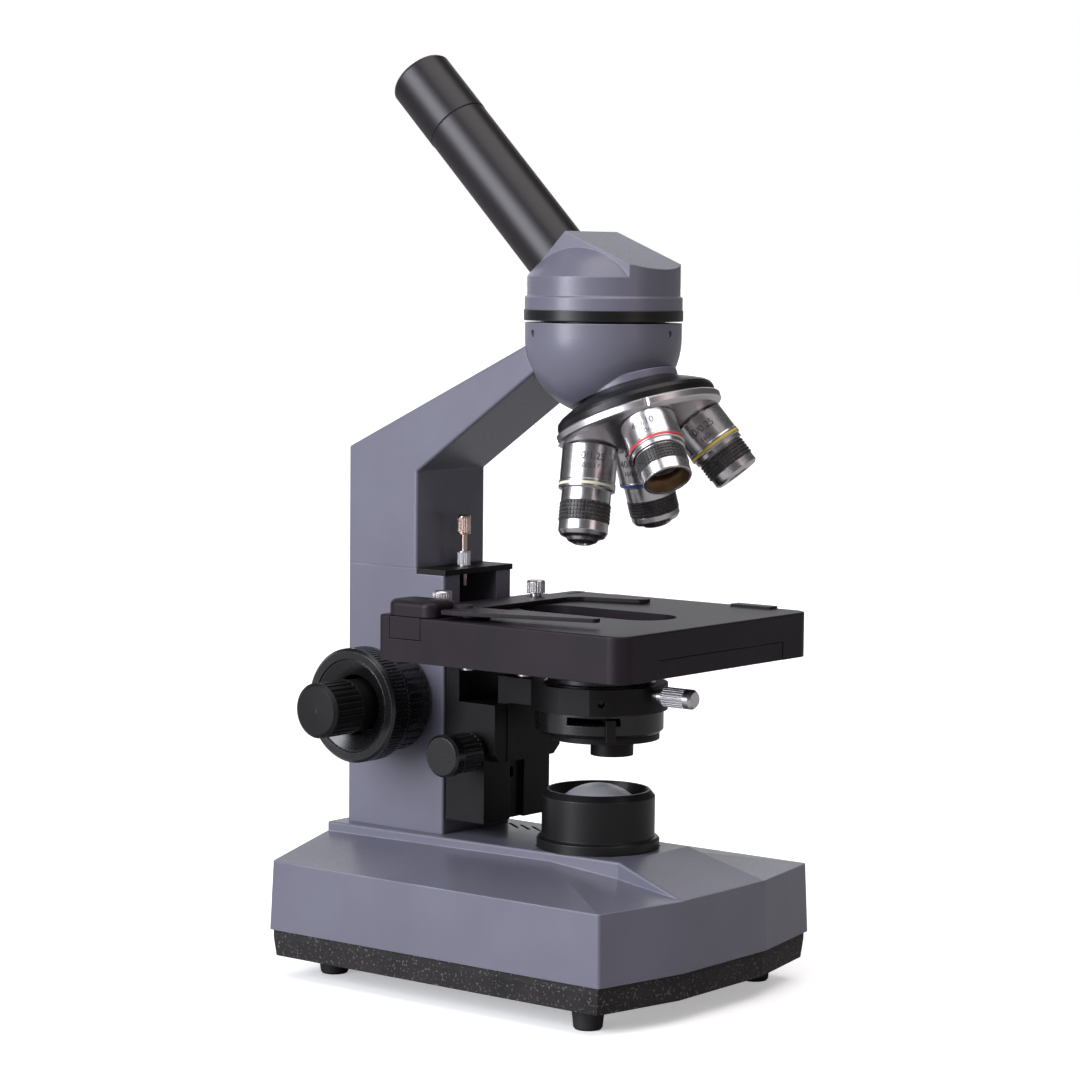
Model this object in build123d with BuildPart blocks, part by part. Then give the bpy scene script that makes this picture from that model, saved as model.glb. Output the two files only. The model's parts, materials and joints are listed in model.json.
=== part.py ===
"""Monocular student microscope: every casting, knob, slide, lens and screw as its own solid.

Frame: millimetres, +Z up, front of the stand towards -Y. The optical axis is X = 0, Y = 0,
and Z = 0 is the table under the rubber feet.
"""
from build123d import *
from math import cos, pi, radians, sin, tan
import os

os.makedirs("parts", exist_ok=True)

# ---------------------------------------------------------------- driving dimensions
# base casting
base_half_width = 68.7
base_front_y = -53.0
base_rear_y = 111.3
nose_half_width = 27.5
nose_y = -61.4
tail_half_width = 28.1
tail_y = 118.4
feet_height = 9.0
plate_top = 19.7
wall_top = 47.3
plateau = 57.4
plateau_front_y = -27.6
plateau_front_half_width = 23.3
side_slope = 0.15
front_slope = 0.1
base_flare = 0.9
corner_round = 1.5
casting_wall = 4.0
rear_fitting_x = 12.0
rear_fitting_z = 34.0
dial_y = 20.0
dial_z = 34.0

# column and arm
column_half_width = 21.4
column_front_y = 62.3
column_rear_y = 113.3
column_top = 164.0
channel_half_width = 11.7
channel_rear_y = 100.0
arm_front_y = 76.8
arm_top_rear = 211.8
arm_top_slope = 0.4717
arm_bottom_rear = 202.9
arm_bottom_slope = 0.699
arm_end_y = 14.0
shelf_thickness = 2.2

# focusing drive
drive_y = 88.0
drive_z = 110.0
gear_teeth = 12
drive_pinion_radius = 6.0
coarse_radius = 23.0
coarse_inner_x = 22.4
coarse_outer_x = 48.6
fine_radius = 11.0
fine_outer_x = 69.4
running_gap = 0.05

# stage
stage_half_width = 62.5
stage_front_y = -57.6
stage_rear_y = 61.1
stage_bottom = 132.25
stage_top_z = 150.0
lower_plate_top = 139.3
lower_plate_left = -39.0
lower_plate_right = 43.0
slot_half_width = 13.0
slot_front_y = -34.0
slot_rear_y = 37.5
groove_front_y = 39.5
groove_rear_y = 55.5
groove_floor = 141.0
control_x = 50.0
control_y = 33.5
control_pinion_radius = 6.0
thumbscrew_y = 47.5
thumbscrew_xs = (-40.0, 19.0)
finger_x = -48.0
finger_y = 30.0

# carriage below the stage
carriage_half_width = 21.0
carriage_front_y = 36.0
carriage_foot_y = 41.3
carriage_rear_y = 61.0
carriage_bottom = 64.0
carriage_step_z = 88.7
carriage_shoulder = 112.0
flange_bottom = 128.0
stage_screw_places = [(-19.5, 50.8), (-19.5, 22.0), (19.5, 50.8), (19.5, 22.0)]
tongue_half_width = 9.0
tongue_rear_y = 80.2
tongue_top = 130.0

# condenser
condenser_drive_y = 46.5
condenser_drive_z = 93.0
condenser_pinion_radius = 4.8
holder_radius = 27.0
holder_bottom = 112.6
holder_top = 122.9
condenser_radius = 25.4
condenser_bottom = 103.4
cell_radius = 11.5

# illuminator
lamp_radius = 22.4
lamp_top = 80.4
lamp_flange_radius = 24.3

# head and nosepiece
bowl_radius = 30.6
bowl_centre_z = 258.0
bowl_top = 263.8
ring_bottom = 264.5
ring_top = 268.7
collar_top = 274.2
head_radius = 29.9
wedge_half_width = 16.7
wedge_ridge_y = 6.4
wedge_ridge_z = 299.2
tube_angle = 45.0
tube_axis_z = 266.9
tube_radius = 12.8
tube_bore = 11.65
tube_start = 24.0
tube_end = 104.5
eyepiece_end = 133.7
apex_z = 272.9
nose_tilt = 21.0
turret_radius = 33.0
turret_ring_centre = 49.3
seat_distance = 59.6
turret_rest_turn = -43.3

tube_direction = Vector(0, sin(radians(tube_angle)), cos(radians(tube_angle)))
tube_plane = Plane(origin=(0, 0, tube_axis_z), x_dir=(1, 0, 0), z_dir=tube_direction)
turret_axis = Vector(0, -sin(radians(nose_tilt)), -cos(radians(nose_tilt)))
turret_plane = Plane(origin=(0, 0, apex_z), x_dir=(1, 0, 0), z_dir=turret_axis)
drive_plane = Plane(origin=(0, drive_y, drive_z), x_dir=(0, 0, 1), z_dir=(1, 0, 0))


# ---------------------------------------------------------------- shared shapes
def outline(grow):
    """Corners of the base in plan, grown outwards by grow."""
    half = [
        (nose_half_width, nose_y - grow),
        (base_half_width + grow, base_front_y - grow),
        (base_half_width + grow, base_rear_y + grow),
        (tail_half_width, tail_y + grow),
    ]
    return half + [(-x, y) for x, y in reversed(half)]


def turn(plane, profile, mode=Mode.ADD):
    """Turn (radius, height) corners about the z axis of plane, in the current part."""
    side = Plane(origin=plane.origin, x_dir=plane.x_dir, z_dir=-plane.y_dir)
    with BuildSketch(side) as section:
        Polygon(*profile, align=None)
    return revolve(section.sketch, axis=Axis(plane.origin, plane.z_dir), mode=mode)


def block(low, high, mode=Mode.ADD):
    """An upright block between two corners, in the current part."""
    with BuildSketch(Plane.XY.offset(low[2])) as footprint:
        Polygon((low[0], low[1]), (high[0], low[1]), (high[0], high[1]), (low[0], high[1]), align=None)
    return extrude(footprint.sketch, high[2] - low[2], dir=(0, 0, 1), mode=mode)


def grooves(plane, rim, depth_radius, count, low, high):
    """Cut the straight grooves of a knurled grip round the z axis of plane."""
    base_plane = plane.offset(low)
    with BuildSketch(base_plane) as cutters:
        with PolarLocations(rim + 0.35 * depth_radius, count):
            Circle(depth_radius)
    return extrude(cutters.sketch, high - low, dir=plane.z_dir, mode=Mode.SUBTRACT)


def gear(plane, pitch_radius, low, high, phase):
    """Add a pinion to the current part: straight-sided teeth on a root circle."""
    module = 2 * pitch_radius / gear_teeth
    root = pitch_radius - 1.15 * module
    tip = pitch_radius + 0.7 * module
    with BuildSketch(plane.offset(low)) as section:
        Circle(root)
        with PolarLocations(0, gear_teeth, start_angle=phase):
            Polygon(
                (root - 0.5, -0.85 * module),
                (tip, -0.3 * module),
                (tip, 0.3 * module),
                (root - 0.5, 0.85 * module),
                align=None,
            )
    return extrude(section.sketch, high - low, dir=plane.z_dir)


def rack(plane, backing, first, last, pitch_radius, low, high):
    """Add a rack to the current part: teeth along the plane's y axis, pitch line at x = 0."""
    module = 2 * pitch_radius / gear_teeth
    pitch = pi * module
    middle = round((first + last) / 2 / pitch) * pitch
    reach = int((last - first) / 2 / pitch - 0.6)
    with BuildSketch(plane.offset(low)) as section:
        Polygon(
            (-backing, first),
            (-1.15 * module, first),
            (-1.15 * module, last),
            (-backing, last),
            align=None,
        )
        with Locations(*[(0, middle + step * pitch) for step in range(-reach, reach + 1)]):
            Polygon(
                (-1.3 * module, -0.8 * module),
                (0.7 * module, -0.3 * module),
                (0.7 * module, 0.3 * module),
                (-1.3 * module, 0.8 * module),
                align=None,
            )
    return extrude(section.sketch, high - low, dir=plane.z_dir)


def screw_holes(low, high):
    """Cut the holes of the stage screws in the current part, between two heights."""
    with BuildSketch(Plane.XY.offset(low)) as holes:
        with Locations(*stage_screw_places):
            Circle(1.65)
    return extrude(holes.sketch, high - low, dir=(0, 0, 1), mode=Mode.SUBTRACT)


def screw_solid(plane, shank_radius, length, head_radius, head_height):
    """Add a cap screw with a hexagon socket; plane's z axis points out of the head."""
    turn(
        plane,
        [
            (0, -length),
            (shank_radius, -length),
            (shank_radius, 0),
            (head_radius, 0),
            (head_radius, head_height),
            (0, head_height),
        ],
    )
    with BuildSketch(plane.offset(head_height)) as socket:
        RegularPolygon(head_radius * 0.5, 6)
    return extrude(socket.sketch, -head_height * 0.6, mode=Mode.SUBTRACT)


# ---------------------------------------------------------------- base
def plan(height, grow):
    """The base's outline in plan at a height, with rounded corners."""
    with BuildSketch(Plane.XY.offset(height)) as shape:
        Polygon(*outline(grow), align=None)
        fillet(shape.vertices(), corner_round)
    return shape.sketch


with BuildPart() as side_roofs:
    with BuildSketch(Plane.XZ.offset(-tail_y)):
        inner_x = plateau_front_half_width - 4
        ridge_z = wall_top + side_slope * (base_half_width - inner_x)
        for side in (-1, 1):
            Polygon(
                (side * base_half_width, wall_top - 3),
                (side * base_half_width, wall_top),
                (side * inner_x, ridge_z),
                (side * inner_x, wall_top - 3),
                align=None,
            )
    extrude(amount=tail_y - nose_y)
    extrude(plan(wall_top - 3, 0), amount=20, mode=Mode.INTERSECT)
    facet = Vector(base_half_width - nose_half_width, base_front_y - nose_y).normalized()
    for side in (-1, 1):
        rise = Vector(side * facet.Y * front_slope, -facet.X * front_slope, 1)
        split(
            bisect_by=Plane(origin=(side * nose_half_width, nose_y, wall_top), z_dir=rise),
            keep=Keep.BOTTOM,
        )

with BuildPart() as hood:
    with BuildSketch(Plane.XY.offset(wall_top - 3)):
        hood_half = [
            (tail_half_width, tail_y),
            (plateau_front_half_width, plateau_front_y),
            (nose_half_width, nose_y),
        ]
        Polygon(*hood_half, *[(-x, y) for x, y in reversed(hood_half)], align=None)
    extrude(amount=plateau - wall_top + 3)
    nose_rise = (plateau - wall_top) / (plateau_front_y - nose_y)
    split(bisect_by=Plane(origin=(0, plateau_front_y, plateau), z_dir=(0, -nose_rise, 1)), keep=Keep.BOTTOM)
    rim = hood.edges().filter_by(lambda e: e.center().Z > wall_top + 1 and e.length > 10)
    fillet(rim.filter_by(lambda e: abs(e.center().X) > 15 or e.center().Y > tail_y - 1), 0.8)

with BuildPart() as base_shell:
    loft([plan(plate_top, base_flare), plan(wall_top, 0)], ruled=True)
    add(side_roofs.part)
    add(hood.part)
    with BuildSketch(Plane.XY.offset(plate_top)):
        Polygon(*outline(-casting_wall), align=None)
    extrude(amount=wall_top - casting_wall - plate_top, mode=Mode.SUBTRACT)
    block((-18, -20, wall_top - casting_wall - 1), (18, tail_y - 6, plateau - casting_wall), Mode.SUBTRACT)
    with BuildSketch(Plane.XY.offset(plateau - 8)):
        Circle(18)
        with GridLocations(30, 34, 2, 2):
            Circle(2.2)
    extrude(amount=10, mode=Mode.SUBTRACT)
    with BuildSketch(Plane.XY.offset(plateau - 8)):
        with Locations((0, drive_y)):
            with GridLocations(28, 36, 2, 2):
                Circle(2.6)
    extrude(amount=10, mode=Mode.SUBTRACT)
    with BuildSketch(Plane.XY.offset(plateau - 8)):
        with Locations((14, 48), (14, 42), (14, 54)):
            SlotOverall(12, 1.4, rotation=56)
    extrude(amount=10, mode=Mode.SUBTRACT)
    with BuildSketch(Plane.YZ.offset(base_half_width - 10)):
        with Locations((dial_y, dial_z)):
            Circle(5.3)
    extrude(amount=20, mode=Mode.SUBTRACT)
    with BuildSketch(Plane.XZ.offset(-tail_y - 5)):
        with Locations((rear_fitting_x, rear_fitting_z)):
            Rectangle(13.4, 19.4)
        with Locations((-rear_fitting_x, rear_fitting_z)):
            Circle(5.6)
    extrude(amount=20, mode=Mode.SUBTRACT)
base_shell.part.label = "base_shell"

feet_places = [(-55, -38), (55, -38), (-45, 99), (45, 99)]
with BuildPart() as base_plate:
    with BuildSketch(Plane.XY.offset(feet_height)):
        Polygon(*outline(-1.2), align=None)
    with BuildSketch(Plane.XY.offset(plate_top - 3)):
        Polygon(*outline(-0.4), align=None)
    with BuildSketch(Plane.XY.offset(plate_top)):
        Polygon(*outline(-0.4), align=None)
    loft(ruled=True)
    with BuildSketch(Plane.XY.offset(feet_height + 3)):
        Polygon(*outline(-casting_wall), align=None)
    extrude(amount=plate_top, mode=Mode.SUBTRACT)
    for place in feet_places:
        with BuildSketch(Plane.XY.offset(feet_height)):
            with Locations(place):
                Circle(6.5)
        extrude(amount=plate_top - feet_height)
        with BuildSketch(Plane.XY.offset(feet_height)):
            with Locations(place):
                Circle(2.1)
        extrude(amount=plate_top - feet_height, mode=Mode.SUBTRACT)
base_plate.part.label = "base_plate"

with BuildPart() as rubber_feet:
    for place in feet_places:
        foot_plane = Plane(origin=(place[0], place[1], 0))
        turn(
            foot_plane,
            [(0, 3), (3, 3), (3, 0), (5.0, 0), (5.6, 0.8), (6.5, feet_height), (0, feet_height)],
        )
        turn(foot_plane, [(0, 2), (2.1, 2), (2.1, feet_height + 1), (0, feet_height + 1)], Mode.SUBTRACT)
rubber_feet.part.label = "rubber_feet"

with BuildPart() as base_screws:
    for place in feet_places:
        screw_plane = Plane(origin=(place[0], place[1], 2.9), x_dir=(1, 0, 0), z_dir=(0, 0, -1))
        screw_solid(screw_plane, 2.05, 16.6, 2.9, 1.8)
base_screws.part.label = "base_screws"

# ---------------------------------------------------------------- column and arm
with BuildPart() as lower_column:
    block(
        (-column_half_width, column_front_y, plateau),
        (column_half_width, column_rear_y, column_top - shelf_thickness),
    )
    block(
        (-column_half_width, arm_front_y, column_top - shelf_thickness),
        (column_half_width, column_rear_y, column_top),
    )
    upright = lower_column.edges().filter_by(Axis.Z).filter_by(lambda e: e.length > 20)
    fillet(upright, 1.2)
    block(
        (-channel_half_width, column_front_y - 1, plateau + 4),
        (channel_half_width, channel_rear_y, column_top),
        Mode.SUBTRACT,
    )
    with BuildSketch(Plane.YZ.offset(-column_half_width - 1)):
        with Locations((drive_y, drive_z)):
            SlotOverall(19.5, 18, rotation=90)
    extrude(amount=2 * column_half_width + 2, mode=Mode.SUBTRACT)
lower_column.part.label = "lower_column"

with BuildPart() as shelf_plate:
    block(
        (-column_half_width, column_front_y - 0.6, column_top - shelf_thickness),
        (column_half_width, arm_front_y, column_top),
    )
    with BuildSketch(Plane.XY.offset(column_top - shelf_thickness)):
        with Locations((0, 69.8)):
            Circle(1.35)
    extrude(amount=shelf_thickness, mode=Mode.SUBTRACT)
shelf_plate.part.label = "shelf_plate"


def arm_profile(inset, end_y):
    """Side view of the arm as (y, z) corners, drawn in by inset."""
    slant_start = arm_front_y + inset
    return [
        (column_rear_y - inset, column_top),
        (column_rear_y - inset, arm_top_rear - inset),
        (end_y, arm_top_rear + arm_top_slope * (column_rear_y - end_y) - 1.1 * inset),
        (end_y, arm_bottom_rear + arm_bottom_slope * (arm_front_y - end_y) + 1.2 * inset),
        (slant_start, arm_bottom_rear + 0.5 * inset),
        (slant_start, column_top),
    ]


with BuildPart() as upper_arm:
    with BuildSketch(Plane.YZ.offset(-column_half_width)):
        Polygon(*arm_profile(0, arm_end_y), align=None)
    extrude(amount=2 * column_half_width)
    long_edges = upper_arm.edges().filter_by(
        lambda e: e.center().Y > arm_end_y + 1 and e.center().Z > column_top + 1,
    )
    fillet(long_edges, 1.2)
    with BuildSketch(Plane.YZ.offset(-column_half_width + 5)):
        Polygon(*arm_profile(5, 45), align=None)
    extrude(amount=2 * column_half_width - 10, mode=Mode.SUBTRACT)
    with BuildSketch(Plane.XY.offset(column_top)):
        Polygon((-16, 82), (16, 82), (16, 108), (-16, 108), align=None)
    extrude(amount=10, mode=Mode.SUBTRACT)
    seat = bowl_radius + 0.02
    with Locations((0, 0, bowl_centre_z)):
        Sphere(seat, mode=Mode.SUBTRACT)
    turn(Plane.XY, [(0, bowl_centre_z), (seat, bowl_centre_z), (seat, 290), (0, 290)], Mode.SUBTRACT)
upper_arm.part.label = "upper_arm"

with BuildPart() as stop_nut:
    nut_plane = Plane(origin=(0, 69.8, column_top))
    turn(nut_plane, [(0, 0), (2.6, 0), (2.6, 6.2), (0, 6.2)])
    grooves(nut_plane, 2.6, 0.35, 20, 0.6, 5.6)
    turn(nut_plane, [(0, -1), (1.3, -1), (1.3, 7), (0, 7)], Mode.SUBTRACT)
stop_nut.part.label = "stop_nut"

with BuildPart() as stop_screw:
    stop_plane = Plane(origin=(0, 69.8, 0))
    turn(
        stop_plane,
        [(0, 155.9), (1.25, 155.9), (1.25, 177.1), (2.7, 177.1), (2.7, 184.2), (2.2, 184.8), (0, 184.8)],
    )
    grooves(stop_plane, 2.7, 0.35, 20, 177.8, 183.6)
stop_screw.part.label = "stop_screw"

# ---------------------------------------------------------------- bowl under the head
neck_distance = 37.5
neck_bore = 12.0
light_bore = [(0, 215), (8.0, 215), (8.0, 250), (0, 250)]
with BuildPart() as head_bowl:
    with Locations((0, 0, bowl_centre_z)):
        Sphere(bowl_radius)
    block((-40, -40, bowl_centre_z), (40, 40, 300), Mode.SUBTRACT)
    turn(
        Plane.XY,
        [(0, bowl_centre_z), (bowl_radius, bowl_centre_z), (bowl_radius, bowl_top), (0, bowl_top)],
    )
    with Locations((0, 0, bowl_centre_z)):
        Sphere(bowl_radius - 4, mode=Mode.SUBTRACT)
    turn(
        Plane.XY,
        [(0, bowl_centre_z), (24.4, bowl_centre_z), (24.4, bowl_top + 1), (0, bowl_top + 1)],
        Mode.SUBTRACT,
    )
    split(bisect_by=turret_plane.offset(neck_distance), keep=Keep.BOTTOM)
    turn(
        turret_plane,
        [(0, neck_distance - 3), (19.4, neck_distance - 3), (19.4, neck_distance), (0, neck_distance)],
    )
    turn(
        turret_plane,
        [(0, 25), (neck_bore, 25), (neck_bore, neck_distance + 1), (0, neck_distance + 1)],
        Mode.SUBTRACT,
    )
    turn(Plane.XY, light_bore, Mode.SUBTRACT)
    lock_angles = (-86, 34, 154)
    for angle in lock_angles:
        outward = Vector(cos(radians(angle)), sin(radians(angle)), 0)
        with BuildSketch(Plane(origin=outward * 20 + Vector(0, 0, 259.6), z_dir=outward)) as screw_hole:
            Circle(1.55)
        extrude(screw_hole.sketch, 20, mode=Mode.SUBTRACT)
head_bowl.part.label = "head_bowl"

with BuildPart() as head_lock_screws:
    for angle in lock_angles:
        outward = Vector(cos(radians(angle)), sin(radians(angle)), 0)
        grub_plane = Plane(origin=outward * 24.6 + Vector(0, 0, 259.6), z_dir=outward)
        turn(grub_plane, [(0, 0), (1.5, 0), (1.5, 5.2), (0, 5.2)])
head_lock_screws.part.label = "head_lock_screws"

# ---------------------------------------------------------------- illuminator
lamp_plane = Plane(origin=(0, 0, plateau))
with BuildPart() as illuminator_housing:
    wall_height = lamp_top - plateau
    turn(
        lamp_plane,
        [
            (17.4, 0),
            (lamp_flange_radius, 0),
            (lamp_flange_radius, 3.6),
            (lamp_flange_radius - 0.8, 4.4),
            (lamp_radius, 4.6),
            (lamp_radius, wall_height - 2.5),
            (lamp_radius - 2.0, wall_height),
            (lamp_radius - 2.6, wall_height),
            (16.6, wall_height - 7),
            (16.6, wall_height - 10),
            (17.4, wall_height - 10),
        ],
    )
illuminator_housing.part.label = "illuminator_housing"

lens_rim = lamp_top - 5.5
lens_rise = 7.6
lens_radius = 16.2
lens_curvature = (lens_radius**2 + lens_rise**2) / (2 * lens_rise)
with BuildPart() as collector_lens:
    with Locations((0, 0, lens_rim + lens_rise - lens_curvature)):
        Sphere(lens_curvature)
    with BuildSketch(Plane.XY.offset(lens_rim - 3)):
        Circle(lens_radius)
    extrude(amount=20, mode=Mode.INTERSECT)
collector_lens.part.label = "collector_lens"

with BuildPart() as led_lamp:
    turn(Plane(origin=(0, 0, plateau - 3)), [(0, 0), (12, 0), (12, 1.6), (4, 1.6), (4, 4.2), (0, 5.4)])
led_lamp.part.label = "led_lamp"

with BuildPart() as power_inlet:
    inlet_plane = Plane(
        origin=(-rear_fitting_x, tail_y - 8, rear_fitting_z),
        x_dir=(1, 0, 0),
        z_dir=(0, 1, 0),
    )
    turn(inlet_plane, [(2.8, 2), (5.5, 2), (5.5, 8), (6.6, 8), (6.6, 9), (2.8, 9)])
    turn(inlet_plane, [(0, 0), (5.5, 0), (5.5, 2), (0, 2)])
    turn(inlet_plane, [(0, 1), (1.0, 1), (1.0, 7.5), (0, 7.5)])
power_inlet.part.label = "power_inlet"

with BuildPart() as power_switch:
    with BuildSketch(Plane.YZ.offset(rear_fitting_x - 6.4)):
        Polygon(
            (tail_y - 9, rear_fitting_z - 8),
            (tail_y - 9, rear_fitting_z + 8),
            (tail_y + 1.4, rear_fitting_z + 9.2),
            (tail_y + 0.2, rear_fitting_z),
            (tail_y + 1.4, rear_fitting_z - 9.2),
            align=None,
        )
    extrude(amount=12.8)
    rocker_pivot = Plane(
        origin=(rear_fitting_x - 6.4, tail_y - 4, rear_fitting_z), x_dir=(0, 1, 0), z_dir=(1, 0, 0)
    )
    turn(rocker_pivot, [(0, 0), (1.2, 0), (1.2, 12.8), (0, 12.8)], Mode.SUBTRACT)
power_switch.part.label = "power_switch"

with BuildPart() as brightness_dial:
    dial_plane = Plane(origin=(base_half_width, dial_y, dial_z), x_dir=(0, 0, 1), z_dir=(1, 0, 0))
    turn(dial_plane, [(0, -8), (5.0, -8), (5.0, 0.8), (9, 0.8), (9, 9), (8.2, 9.8), (0, 9.8)])
    grooves(dial_plane, 9, 0.5, 36, 2.2, 9)
brightness_dial.part.label = "brightness_dial"

# ---------------------------------------------------------------- focusing drive
guide_half_width = channel_half_width - 0.2
with BuildPart() as focus_guide:
    block((-guide_half_width, 67, 78), (guide_half_width, channel_rear_y - 0.5, 142))
    block(
        (-tongue_half_width - 0.3, 66, 77),
        (tongue_half_width + 0.3, channel_rear_y - 4, 143),
        Mode.SUBTRACT,
    )
    with BuildSketch(Plane.YZ.offset(-guide_half_width)):
        with Locations((drive_y, drive_z)):
            Circle(4.6 + running_gap)
    extrude(amount=2 * guide_half_width, mode=Mode.SUBTRACT)
focus_guide.part.label = "focus_guide"

with BuildPart() as coarse_shaft:
    shaft_end = coarse_inner_x + 8
    turn(drive_plane, [(2.6, -shaft_end), (4.6, -shaft_end), (4.6, shaft_end), (2.6, shaft_end)])
    gear(drive_plane, drive_pinion_radius, -4, 4, 15)
    turn(drive_plane, [(0, -5), (2.6, -5), (2.6, 5), (0, 5)], Mode.SUBTRACT)
coarse_shaft.part.label = "coarse_shaft"


def coarse_knob_profile():
    """Half section of a coarse knob from its inner hub to the dished outer rim."""
    length = coarse_outer_x - coarse_inner_x
    return [
        (4.6, 0),
        (19.4, 0),
        (20.4, 1),
        (20.4, length - 12.5),
        (coarse_radius, length - 11),
        (coarse_radius, length - 1.2),
        (coarse_radius - 1.2, length),
        (18.9, length - 0.2),
        (18.5, length - 1.0),
        (18.1, length - 0.5),
        (12.2, length - 3.4),
        (12.2, 8),
        (4.6, 8),
    ]


def fine_knob_profile():
    """Half section of a fine knob, from the shaft's end to the rounded cap."""
    length = fine_outer_x - coarse_inner_x
    return [
        (2.5, 9),
        (10.4, 9),
        (10.4, length - 19),
        (fine_radius, length - 18),
        (fine_radius, length - 1.5),
        (fine_radius - 1.5, length - 0.3),
        (0, length),
        (0, 12),
        (2.5, 12),
    ]


def knob_plane(side):
    """Plane of a focusing knob: z points outwards from the column's side."""
    return Plane(origin=(side * coarse_inner_x, drive_y, drive_z), x_dir=(0, 0, 1), z_dir=(side, 0, 0))


rib_count = 30
coarse_knobs = {}
fine_knobs = {}
for name, side in (("left", -1), ("right", 1)):
    outer = knob_plane(side)
    with BuildPart() as coarse_knob:
        turn(outer, coarse_knob_profile())
        grooves(outer, 20.4, 0.9, rib_count, 1.2, 13)
        grooves(outer, coarse_radius, 0.55, 90, 16.5, 24)
    coarse_knob.part.label = "coarse_knob_" + name
    coarse_knobs[name] = coarse_knob
    with BuildPart() as fine_knob:
        turn(outer, fine_knob_profile())
        grooves(outer, fine_radius, 0.8, 26, 30.5, 45.0)
    fine_knob.part.label = "fine_knob_" + name
    fine_knobs[name] = fine_knob

with BuildPart() as fine_shaft:
    rod_end = coarse_inner_x + 12
    turn(drive_plane, [(0, -rod_end), (2.5, -rod_end), (2.5, rod_end), (0, rod_end)])
fine_shaft.part.label = "fine_shaft"

# ---------------------------------------------------------------- stage carriage
dovetail_half_width = 13.0
with BuildPart() as stage_carriage:
    block(
        (-carriage_half_width, carriage_foot_y, carriage_bottom),
        (carriage_half_width, carriage_rear_y, carriage_shoulder),
    )
    with BuildSketch(Plane.XZ.offset(-carriage_foot_y)):
        Polygon(
            (-carriage_half_width + 4, carriage_step_z),
            (carriage_half_width - 4, carriage_step_z),
            (carriage_half_width, carriage_step_z + 3.5),
            (carriage_half_width, carriage_shoulder),
            (-carriage_half_width, carriage_shoulder),
            (-carriage_half_width, carriage_step_z + 3.5),
            align=None,
        )
    extrude(amount=carriage_foot_y - carriage_front_y)
    block(
        (-carriage_half_width, 54.5, carriage_shoulder),
        (carriage_half_width, carriage_rear_y, flange_bottom),
    )
    block((-30, -26, flange_bottom), (30, carriage_rear_y, stage_bottom))
    block(
        (-tongue_half_width, carriage_rear_y, carriage_bottom),
        (tongue_half_width, tongue_rear_y, tongue_top),
    )
    turn(
        Plane.XY,
        [(0, flange_bottom - 1), (24, flange_bottom - 1), (24, stage_bottom + 1), (0, stage_bottom + 1)],
        Mode.SUBTRACT,
    )
    block(
        (-dovetail_half_width - 0.3, carriage_front_y - 1, carriage_step_z - 1),
        (dovetail_half_width + 0.3, carriage_foot_y, carriage_shoulder + 1),
        Mode.SUBTRACT,
    )
    block(
        (-4.6, carriage_foot_y - 1, carriage_bottom - 1),
        (4.6, 43.4, carriage_shoulder + 1),
        Mode.SUBTRACT,
    )
    screw_holes(flange_bottom - 1, stage_bottom + 1)
    condenser_drive = Plane(
        origin=(0, condenser_drive_y, condenser_drive_z),
        x_dir=(0, 0, 1),
        z_dir=(1, 0, 0),
    )
    turn(condenser_drive, [(0, -4.6), (6.2, -4.6), (6.2, 4.6), (0, 4.6)], Mode.SUBTRACT)
    turn(
        condenser_drive,
        [(0, -24), (2.5 + running_gap, -24), (2.5 + running_gap, 12), (0, 12)],
        Mode.SUBTRACT,
    )
    with BuildSketch(Plane.XZ.offset(-carriage_foot_y + 1)):
        with Locations((-1, 82.6)):
            SlotOverall(4.4, 2.6, rotation=90)
    extrude(amount=-12, mode=Mode.SUBTRACT)
stage_carriage.part.label = "stage_carriage"

with BuildPart() as focus_rack:
    rack_plane = Plane(origin=(0, drive_y - drive_pinion_radius, drive_z), x_dir=(0, 1, 0), z_dir=(1, 0, 0))
    rack_back = drive_y - drive_pinion_radius - tongue_rear_y
    rack(
        rack_plane,
        rack_back,
        carriage_bottom - drive_z + 2,
        tongue_top - drive_z - 2,
        drive_pinion_radius,
        -4,
        4,
    )
focus_rack.part.label = "focus_rack"

with BuildPart() as stage_screws:
    for x, y in stage_screw_places:
        screw_solid(
            Plane(origin=(x, y, flange_bottom), x_dir=(1, 0, 0), z_dir=(0, 0, -1)),
            1.6,
            6.0,
            3.2,
            3.0,
        )
stage_screws.part.label = "stage_screws"

with BuildPart() as stage_lower_plate:
    block((lower_plate_left, stage_front_y + 0.3, stage_bottom), (lower_plate_right, 57, lower_plate_top))
    turn(
        Plane.XY,
        [(0, stage_bottom - 1), (16, stage_bottom - 1), (16, stage_top_z), (0, stage_top_z)],
        Mode.SUBTRACT,
    )
    screw_holes(stage_bottom - 1, stage_bottom + 2.2)
    y_rack_plane = Plane(
        origin=(control_x - control_pinion_radius, control_y, 0),
        x_dir=(1, 0, 0),
        z_dir=(0, 0, 1),
    )
    y_rack_back = control_x - control_pinion_radius - lower_plate_right
    rack(y_rack_plane, y_rack_back + 1, -31, 8, control_pinion_radius, 133.2, 137.2)
stage_lower_plate.part.label = "stage_lower_plate"

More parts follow.
